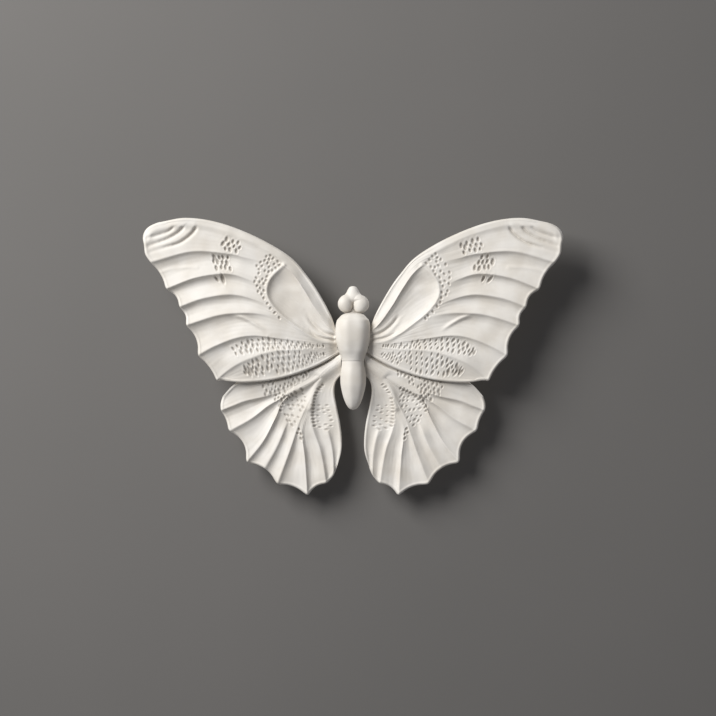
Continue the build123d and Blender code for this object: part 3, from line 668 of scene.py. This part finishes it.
# Each eye's middle, sideways and upwards, its half width, and how far the crown flows onto it
EYES = {
    "left": {"middle": -3.7, "level": 15.5, "half_width": 3.5, "flow": 0.8},
    "right": {"middle": 3.95, "level": 15.3, "half_width": 3.7, "flow": 2.4},
}
SEAM_FLOW = 0.1  # how far eyes and crown flow together lower down, where there is a seam
EYE_FLATNESS = 0.85  # an eye's depth in front of its middle, as a share of its half width
FLOW_LEVELS = (16, 18)  # the crown flows onto the eyes above these heights
COLLAR_RIDGE = 9.9  # heights of the thin collar's ridge and of the groove under it
COLLAR_GROOVE = 9.0
COLLAR_RADIUS = 0.45
WAIST_WASH_AND_SHADE = -11.9  # heights where wash and painted shade darken the creases at the waist and the neck
NECK_WASH_AND_SHADE = 11.3

# Half widths of the body's pieces from top to bottom, with the height of each
HEAD = [(0, 24), (1.5, 23.6), (2.4, 22.4), (3.3, 20.7), (4.3, 19.6), (5.2, 18.7), (5.2, 17.6), (3.8, 16.6),
        (2.0, 15.4), (1.6, 13), (2.3, 10.8), (0, 10.2)]
THORAX = [(0, 11.45), (2.6, 11.3), (5.05, 10.3), (7.0, 8.5), (7.85, 7.0), (8.35, 3.6), (8.1, -1.6),
          (7.15, -6), (6.15, -8.7), (5.6, -10.4), (5.32, WAIST + 0.2), (4.8, WAIST), (0, WAIST - 0.1)]
ABDOMEN = [(0, WAIST + 0.3), (4.8, WAIST + 0.2), (5.3, WAIST - 0.1), (5.45, -13.9), (5.82, -17),
           (5.98, -19.5), (5.85, -23.4), (4.85, -28), (3.8, -31.1), (2.6, -33.4), (1.4, -34.6), (0, -35)]


def dome(sideways, high=0.0):
    """Height of a dome of radius 1 at a place, carried on downwards beyond its rim."""
    rim, slope = 0.04, 2.5
    share = 1 - sideways * sideways - high * high
    return math.sqrt(max(share, rim)) - slope * max(rim - share, 0)


def crown_front(sideways, up):
    """How far the crown's surface is in front of the body's axis."""
    width = np.interp(up, [height for _, height in HEAD[::-1]], [half for half, _ in HEAD[::-1]])
    return CROWN_DEPTH * math.tanh(width / CROWN_DEPTH) * dome(sideways / max(width, 0.3))


def eye_front(eye, sideways, up):
    """How far an eye's surface is in front of the body's axis."""
    high = (up - eye["level"]) / EYE_HEIGHT
    bowed = eye["middle"] * (1 - EYE_BOW * high * high)
    across = (sideways - bowed) / eye["half_width"]
    return EYE_FORWARD + EYE_FLATNESS * eye["half_width"] * dome(across, high)


def flow(own, other, reach):
    """A surface that runs smoothly into another one over a reach, and dips under it beyond the seam."""
    share = max(reach - abs(own - other), 0) / reach
    dip = 0.5 * ramp(other - own, 0.0, 1.0)
    return max(own, other) + share * share * reach / 4 - dip


def flow_reach(eye, up):
    """Over what reach an eye and the crown flow together at a height."""
    return SEAM_FLOW + eye["flow"] * ramp(up, *FLOW_LEVELS)


def planed(turn, planes):
    """Radius of a round section that has been lightly planed flat on a few sides."""
    softness, strength = 12, 0.6
    pull = sum(max(math.cos(turn - math.radians(side)), 0.0) ** softness for side in planes)
    return 1 - strength + strength * pull ** (-1 / softness)


def squared(turn, power):
    """Radius of a round section whose four corners are filled out; a power of 2 leaves it round."""
    return (abs(math.sin(turn)) ** power + abs(math.cos(turn)) ** power) ** (-1 / power)


def uneven(turn, up, size):
    """Slight hand unevenness of a rounded surface, whose waves are so many millimetres long."""
    return noise.noise((math.sin(turn) * 1.6, math.cos(turn) * 1.6, up / size))


def thorax_section(turn, up, width):
    """Soft planes down the front, a thin collar, and straight sides to a flat back with eased corners."""
    right = max(math.sin(turn), 0.0)
    collar = bump(up - COLLAR_RIDGE, COLLAR_RADIUS) - bump(up - COLLAR_GROOVE, COLLAR_RADIUS)
    collar *= 0.01 + 0.012 * right
    # Wash and painted shade in the creases at the waist and the neck
    depth = 0.35 * bump(up - WAIST_WASH_AND_SHADE, 0.5) + 0.7 * bump(up - NECK_WASH_AND_SHADE, 0.6)
    if math.cos(turn) > 0:
        carved = squared(turn, 2.5) * (planed(turn, (-90, -45, 5, 50, 90)) + collar)
        radius = width * (1 + (carved - 1) * ramp(up, WAIST, WAIST + 5)) + 0.1 * uneven(turn, up, 5)
        return radius * math.sin(turn), radius * math.cos(turn), depth
    corner = squared(turn, 9)
    thick = BODY_AXIS + THORAX_BACK
    return width * (1 + collar) * corner * math.sin(turn), thick * corner * math.cos(turn), depth


def abdomen_section(turn, up, width):
    """Soft planes down the abdomen."""
    carved = planed(turn, (-95, -38, 14, 66, 120, 180, 230)) + 0.014 * uneven(turn, up, 5)
    radius = width * (1 + (carved - 1) * (1 - ramp(up, WAIST - 5, WAIST)))
    # The last value is wash and painted shade at the waist
    return radius * math.sin(turn), radius * math.cos(turn), 0.3 * bump(up - WAIST_WASH_AND_SHADE, 0.5)


def head_section(turn, up, width):
    """A crown whose skirt flows into the eyes, darkened by wash and painted shade where it goes in between
    them.
    """
    sideways = width * math.sin(turn)
    forward = CROWN_DEPTH * math.tanh(width / CROWN_DEPTH) * math.cos(turn)
    if forward > 0:
        for eye in EYES.values():
            forward = flow(forward, eye_front(eye, sideways, up), flow_reach(eye, up))
    return sideways, forward, 1 - ramp(up, 15.5, 17.0)


def eye_section(eye):
    """A drawn-out ball that is flatter than wide, flows into the crown, and is darkened underneath by wash
    and painted shade.
    """
    def section(turn, up, width):
        forward = EYE_FLATNESS * width * math.cos(turn)
        if forward > 0:
            high = (up - eye["level"]) / EYE_HEIGHT
            bowed = eye["middle"] * (1 - EYE_BOW * high * high)
            crown = crown_front(width * math.sin(turn) + bowed, up)
            forward = flow(forward, crown - EYE_FORWARD, flow_reach(eye, up))
        return width * math.sin(turn), forward, 0.8 * bump(up - 11.2, 0.9)
    return section


def make_body(material):
    """Thorax, abdomen, head and eyes, in place of the plain solids."""
    piece = make_round("carved_thorax", THORAX, thorax_section, material)
    finish_back(piece)
    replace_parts(piece, "thorax")
    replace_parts(make_round("carved_abdomen", ABDOMEN, abdomen_section, material), "abdomen")
    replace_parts(make_round("carved_head", HEAD, head_section, material), "head")
    turns = np.linspace(0, math.pi, 13)
    for word, eye in EYES.items():
        half, level = eye["half_width"], eye["level"]
        arc = [(half * math.sin(turn), level + EYE_HEIGHT * math.cos(turn)) for turn in turns]
        centre = (eye["middle"], BODY_AXIS + EYE_FORWARD)
        piece = make_round(f"carved_eye_{word}", arc, eye_section(eye), material, centre, EYE_BOW)
        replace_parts(piece, f"eye_{word}")


# Room round a screw's head and the depth of its hole, in millimetres
HOLE_CLEARANCE = 0.1
HOLE_DEPTH = 1.7

# Half widths of a screw from the top of its pan head down to the shank, with the depth of each, then its
# blunt point, and the bars of its cross recess: length, twice the depth, and width, in millimetres
SCREW_HEAD = [(0, 0), (0.5, -0.03), (1.0, -0.13), (1.5, -0.34), (1.85, -0.64), (2.0, -0.95), (2.0, -1.5)]
SCREW_SHANK = 1.2
SCREW_POINT = 0.3
POINT_LENGTH = 1.8
CROSS_BAR = (2.3, 1.4, 0.5)
CROSS_TURN = 0.4  # radians that the recesses are turned by


def finish_back(thorax):
    """Flattens the thorax's back, and opens its screw holes."""
    for vert in thorax.data.vertices:
        vert.co.y = min(vert.co.y, THORAX_BACK * MM)
    bm = bmesh.new()
    across = Matrix.Rotation(math.pi / 2, 4, "X")
    for node_name in ("forewing_screws", "hindwing_screws"):
        low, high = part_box(node_name)
        head = (high.z - low.z) / 2
        for sideways in (low.x + head, high.x - head):
            place = Matrix.Translation((sideways, THORAX_BACK * MM, low.z + head)) @ across
            radius = head + HOLE_CLEARANCE * MM
            bmesh.ops.create_cone(
                bm,
                cap_ends=True,
                segments=48,
                radius1=radius,
                radius2=radius,
                depth=2 * HOLE_DEPTH * MM,
                matrix=place,
            )
    cut_from(thorax, bm)


def make_screws(name, node_name, material):
    """Pan-head screws with a cross recess, in place of the plain ones of a node.

    The bars of the recess are cut one after the other, because a cutter that crosses itself cuts too much.
    """
    low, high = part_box(node_name)
    head = (high.z - low.z) / 2
    point = (low.y - high.y) / MM
    shank = [(SCREW_SHANK, SCREW_HEAD[-1][1]), (SCREW_SHANK, point + POINT_LENGTH)]
    profile = [*SCREW_HEAD, *shank, (SCREW_POINT, point), (0, point)]
    bm = bmesh.new()
    turns = (CROSS_TURN, CROSS_TURN + math.pi / 2)
    recesses = [bmesh.new() for _ in turns]
    apart = (high.x - low.x) / 2 - head
    for side in (-apart, apart) if apart > MM else (0,):
        place = Vector(((low.x + high.x) / 2 + side, high.y, low.z + head))
        chain = [bm.verts.new(place + Vector((out, along, 0)) * MM) for out, along in profile]
        edges = [bm.edges.new(pair) for pair in zip(chain, chain[1:])]
        bmesh.ops.spin(
            bm, geom=chain + edges, cent=place, axis=(0, 1, 0), angle=2 * math.pi, steps=48, use_merge=True
        )
        for turn, recess in zip(turns, recesses):
            turned = Matrix.Translation(place) @ Matrix.Rotation(turn, 4, "Y")
            bar = Matrix.Diagonal((*(size * MM for size in CROSS_BAR), 1))
            bmesh.ops.create_cube(recess, size=1, matrix=turned @ bar)
    bmesh.ops.remove_doubles(bm, verts=bm.verts, dist=0.002 * MM)
    bmesh.ops.recalc_face_normals(bm, faces=bm.faces)
    piece = finish_piece(name, bm, material, "zinc_plated_steel", 35)
    for recess in recesses:
        cut_from(piece, recess)
    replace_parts(piece, node_name)


def linear(hex_colour):
    """A colour for a shader, from its sRGB hex value."""
    channels = [int(hex_colour[i:i + 2], 16) / 255 for i in (1, 3, 5)]
    return [c / 12.92 if c <= 0.04045 else ((c + 0.055) / 1.055) ** 2.4 for c in channels] + [1.0]


# Sockets of a colour mix, which go by number: its share, its two colours and its result
MIX_SHARE = 0
MIX_FIRST = 6
MIX_SECOND = 7
MIX_RESULT = 2


def add_node(tree, kind, inputs=(), **settings):
    """Adds a node with its settings, and links or sets its inputs by name or number."""
    made = tree.nodes.new(kind)
    for name, value in settings.items():
        setattr(made, name, value)
    for name, value in dict(inputs).items():
        if isinstance(value, bpy.types.NodeSocket):
            tree.links.new(value, made.inputs[name])
        else:
            made.inputs[name].default_value = value
    return made


def start_material(name, patch, rough_low, rough_high, detail=3.0):
    """A node material whose roughness drifts in patches of so many millimetres, with what its look needs."""
    material = bpy.data.materials.new(name)
    material.use_nodes = True
    tree = material.node_tree
    shader = tree.nodes["Principled BSDF"]
    place = add_node(tree, "ShaderNodeTexCoord").outputs["Object"]
    pattern = {"Vector": place, "Scale": 1 / (patch * MM), "Detail": detail}
    cloud = add_node(tree, "ShaderNodeTexNoise", pattern).outputs["Fac"]
    drift = {"Value": cloud, "To Min": rough_low, "To Max": rough_high}
    rough = add_node(tree, "ShaderNodeMapRange", drift, interpolation_type="SMOOTHSTEP")
    tree.links.new(rough.outputs["Result"], shader.inputs["Roughness"])
    return material, tree, shader, place, cloud


def add_grain(tree, shader, place, size, depth, strength):
    """Fine relief on a surface, with grains so many millimetres wide and deep."""
    pattern = {"Vector": place, "Scale": 1 / (size * MM), "Detail": 3.0}
    grain = add_node(tree, "ShaderNodeTexNoise", pattern).outputs["Fac"]
    relief = {"Height": grain, "Distance": depth * MM, "Strength": strength}
    tree.links.new(add_node(tree, "ShaderNodeBump", relief).outputs["Normal"], shader.inputs["Normal"])


def make_resin():
    """Stone-filled casting resin, wiped with a thin warm-grey wash.

    It looks chalky and matte, with faint clouding and a fine grit. Its hollows, pits and creases are darker,
    partly from the wash and partly from painted shade.
    """
    material, tree, shader, place, cloud = start_material(
        "cast_stone_resin_matte", patch=11, rough_low=0.5, rough_high=0.68, detail=5.0
    )
    contrast = {"Value": cloud, "From Min": 0.3, "From Max": 0.7}
    clouding = add_node(tree, "ShaderNodeMapRange", contrast, interpolation_type="SMOOTHSTEP").outputs[0]
    shades = {MIX_SHARE: clouding, MIX_FIRST: linear("#DAD3C8"), MIX_SECOND: linear("#E6E1D9")}
    tone = add_node(tree, "ShaderNodeMix", shades, data_type="RGBA").outputs[MIX_RESULT]
    # The recess attribute mixes in a darker warm grey: partly the wash, partly painted shade in hollows, pits
    # and creases
    recess = add_node(tree, "ShaderNodeAttribute", attribute_name="recess").outputs["Fac"]
    left = {"Value": recess, "From Min": 0.05, "To Max": 0.6}
    wash_and_shade = add_node(tree, "ShaderNodeMapRange", left, interpolation_type="SMOOTHSTEP").outputs[0]
    shades = {MIX_SHARE: wash_and_shade, MIX_FIRST: tone, MIX_SECOND: linear("#82796E")}
    washed_and_shaded = add_node(tree, "ShaderNodeMix", shades, data_type="RGBA").outputs[MIX_RESULT]
    tree.links.new(washed_and_shaded, shader.inputs["Base Color"])
    # The real grit is finer, and is drawn as coarse as it needs to be to show
    add_grain(tree, shader, place, size=0.6, depth=0.12, strength=0.3)
    return material


def make_steel():
    """Zinc-plated steel, which is bluish grey and softly bright with fine drawn streaks."""
    material, tree, shader, place, cloud = start_material(
        "zinc_plated_steel_satin", patch=2.5, rough_low=0.25, rough_high=0.42
    )
    shades = {MIX_SHARE: cloud, MIX_FIRST: linear("#A9ADB0"), MIX_SECOND: linear("#C6C8C8")}
    tone = add_node(tree, "ShaderNodeMix", shades, data_type="RGBA").outputs[MIX_RESULT]
    tree.links.new(tone, shader.inputs["Base Color"])
    shader.inputs["Metallic"].default_value = 1.0
    drawn = add_node(tree, "ShaderNodeMapping", {"Vector": place, "Scale": (1.0, 1.0, 0.12)})
    add_grain(tree, shader, drawn.outputs["Vector"], size=0.15, depth=0.02, strength=0.3)
    return material


def make_rubber():
    """Moulded grey rubber, which is dull with a faint bloom and a fine moulded grain."""
    material, tree, shader, place, bloom = start_material(
        "moulded_grey_rubber_dull", patch=3, rough_low=0.62, rough_high=0.82
    )
    shades = {MIX_SHARE: bloom, MIX_FIRST: linear("#454544"), MIX_SECOND: linear("#565553")}
    tone = add_node(tree, "ShaderNodeMix", shades, data_type="RGBA").outputs[MIX_RESULT]
    tree.links.new(tone, shader.inputs["Base Color"])
    add_grain(tree, shader, place, size=0.3, depth=0.05, strength=0.4)
    return material


def make_wall():
    """A wall in matte paint, which is even and dull with hardly any drift in its grey.

    It shows only from its front, and neither hides the ornament's back nor darkens what its steel reflects.
    """
    material, tree, shader, _, drift = start_material(
        "wall_paint_matte", patch=160, rough_low=0.9, rough_high=0.9
    )
    shades = {MIX_SHARE: drift, MIX_FIRST: linear("#696764"), MIX_SECOND: linear("#716E6B")}
    tone = add_node(tree, "ShaderNodeMix", shades, data_type="RGBA").outputs[MIX_RESULT]
    tree.links.new(tone, shader.inputs["Base Color"])
    unseen = add_node(tree, "ShaderNodeNewGeometry").outputs["Backfacing"]
    path = add_node(tree, "ShaderNodeLightPath").outputs
    for kind in ("Is Shadow Ray", "Is Glossy Ray"):
        unseen = add_node(tree, "ShaderNodeMath", {0: unseen, 1: path[kind]}, operation="MAXIMUM").outputs[0]
    clear = add_node(tree, "ShaderNodeBsdfTransparent").outputs[0]
    mixed = add_node(tree, "ShaderNodeMixShader", {0: unseen, 1: shader.outputs[0], 2: clear})
    tree.links.new(mixed.outputs[0], tree.nodes["Material Output"].inputs["Surface"])
    bm = bmesh.new()
    bmesh.ops.create_grid(bm, x_segments=1, y_segments=1, size=2.0)
    bmesh.ops.rotate(bm, verts=bm.verts, matrix=Matrix.Rotation(math.pi / 2, 3, "X"))
    finish_piece("wall", bm, material)


def add_lamp(name, energy, size, direction, distance):
    """A soft lamp that shines on the ornament from a direction."""
    aim = Vector((0, -15, THORAX_MIDDLE - 10)) * MM  # about the middle of the ornament
    lamp = bpy.data.objects.new(name, bpy.data.lights.new(name, "AREA"))
    lamp.data.energy = energy
    lamp.data.size = size
    lamp.location = aim + Vector(direction).normalized() * distance
    lamp.rotation_euler = (aim - lamp.location).to_track_quat("-Z", "Y").to_euler()
    bpy.context.scene.collection.objects.link(lamp)


def make_light():
    """A soft key from the upper left, a dim even world, and a dim lamp behind for the back."""
    add_lamp("key_light", energy=12.7, size=0.55, direction=(-0.7, -0.75, 0.58), distance=1.0)
    add_lamp("back_light", energy=3.0, size=0.6, direction=(0.5, 0.8, 0.5), distance=1.0)
    world = bpy.data.worlds.new("studio")
    bpy.context.scene.world = world
    world.use_nodes = True
    tree = world.node_tree
    path = add_node(tree, "ShaderNodeLightPath").outputs
    seen = path["Is Camera Ray"]
    for kind in ("Is Glossy Ray", "Is Transmission Ray"):
        seen = add_node(tree, "ShaderNodeMath", {0: seen, 1: path[kind]}, operation="MAXIMUM").outputs[0]
    fill = tree.nodes["Background"]
    fill.inputs["Color"].default_value = linear("#F2F5FF")
    fill.inputs["Strength"].default_value = 0.18
    pale = add_node(tree, "ShaderNodeBackground", {"Color": linear("#C9C9C8"), "Strength": 1.0})
    mixed = add_node(tree, "ShaderNodeMixShader", {0: seen, 1: fill.outputs[0], 2: pale.outputs[0]})
    tree.links.new(mixed.outputs[0], tree.nodes["World Output"].inputs["Surface"])


def make_camera():
    """Straight on, at the photograph's scale and framing."""
    frame_width, lens, sensor = 340.1, 100.0, 36.0
    aside, below, focus_depth = 2.4, 10.3, 19.0
    camera = bpy.data.objects.new("camera", bpy.data.cameras.new("camera"))
    camera.data.lens = lens
    camera.data.sensor_width = sensor
    distance = frame_width * lens / sensor
    camera.location = Vector((aside, -focus_depth - distance, THORAX_MIDDLE - below)) * MM
    camera.rotation_euler = (math.pi / 2, 0, 0)
    bpy.context.scene.collection.objects.link(camera)
    bpy.context.scene.camera = camera


# The pieces that keep their shape get their materials, and the others are carved anew
FOREWING_SEED = 7
HINDWING_SEED = 17
resin = make_resin()
steel = make_steel()
rubber = make_rubber()
kept = {"hanger_strap": steel, "hanging_ring": steel, "foot_left": rubber, "foot_right": rubber}
for name, material in kept.items():
    nodes[name].data.materials.clear()
    nodes[name].data.materials.append(material)
for side, word in ((-1, "left"), (1, "right")):
    upper = make_wing(f"carved_forewing_{word}", FOREWING, carve_forewing, side, FOREWING_SEED + side, resin)
    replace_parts(upper, f"forewing_{word}")
    lower = make_wing(f"carved_hindwing_{word}", HINDWING, carve_hindwing, side, HINDWING_SEED + side, resin)
    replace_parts(lower, f"hindwing_{word}")
make_body(resin)
for node_name in ("forewing_screws", "hindwing_screws", "hanger_screw"):
    make_screws(f"cross_{node_name}", node_name, steel)
make_wall()
make_light()
make_camera()
bpy.context.scene.view_settings.view_transform = "Standard"
